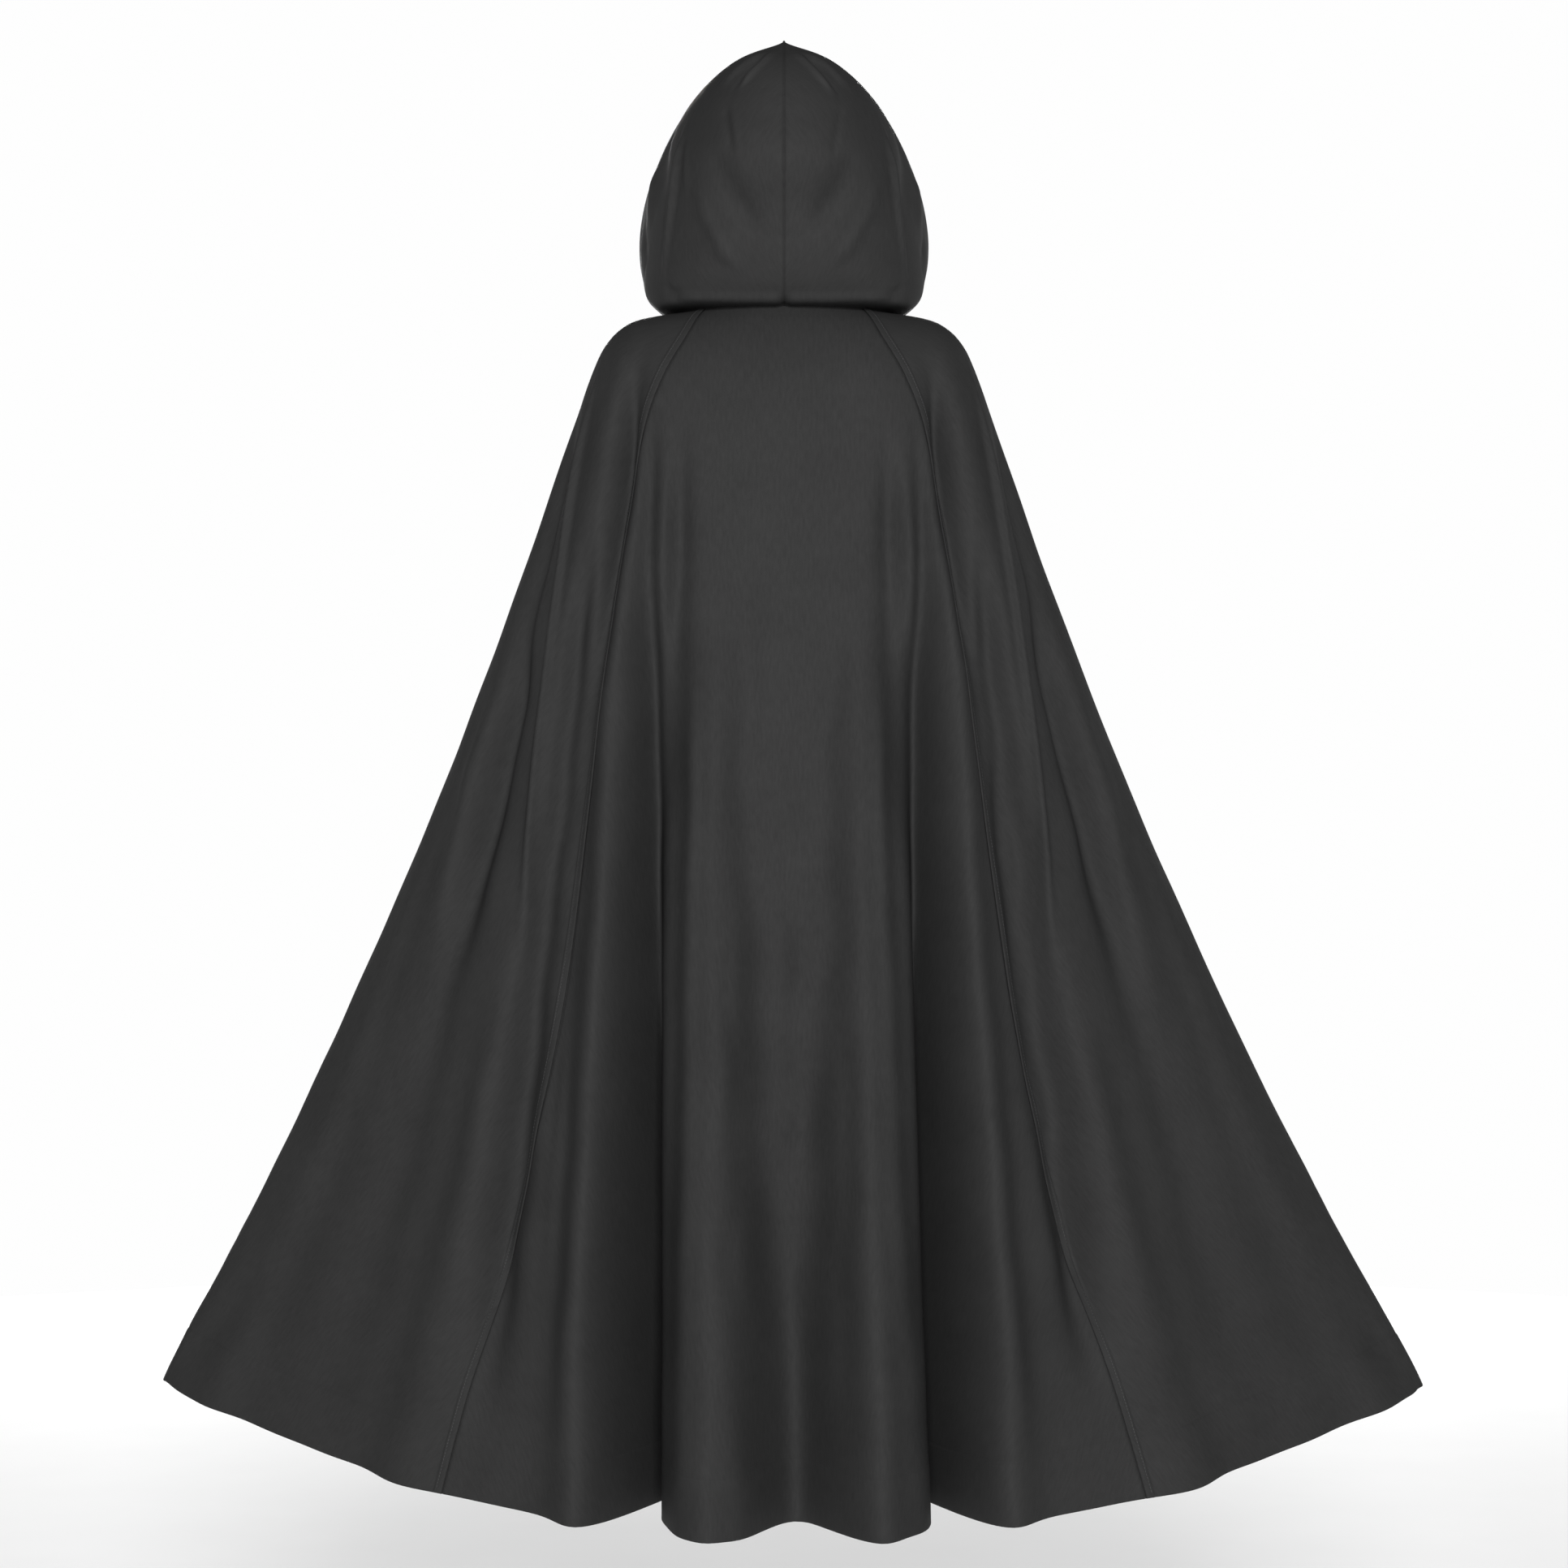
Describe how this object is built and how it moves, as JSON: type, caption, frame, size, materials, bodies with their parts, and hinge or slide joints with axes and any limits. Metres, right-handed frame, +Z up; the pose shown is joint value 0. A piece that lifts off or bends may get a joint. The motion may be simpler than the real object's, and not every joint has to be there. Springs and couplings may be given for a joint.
{
  "type": "hooded wool cloak",
  "caption": "Full-length hooded wool cloak in its worn, hollow form, with a flared panelled body falling in deep folds and a button at the neck.",
  "frame": {"origin": "middle of the neck opening, level with the back neck seam, where the wearer's neck holds the cloak up", "axes": "+Z up along the wearer, -Y towards the front opening and the wearer's face, +X towards the wearer's left"},
  "size_m": [1.524, 0.7124, 1.7385],
  "materials": {
    "wool_cloth": "matte charcoal wool with a short brushed nap and a faint vertical grain",
    "horn_button": "dark polished horn"
  },
  "bodies": {
    "root": {"back_panel": "wool_cloth", "left_front_panel": "wool_cloth", "right_front_panel": "wool_cloth", "hood_left": "wool_cloth", "hood_right": "wool_cloth", "neck_button": "horn_button"}
  },
  "joints": []
}
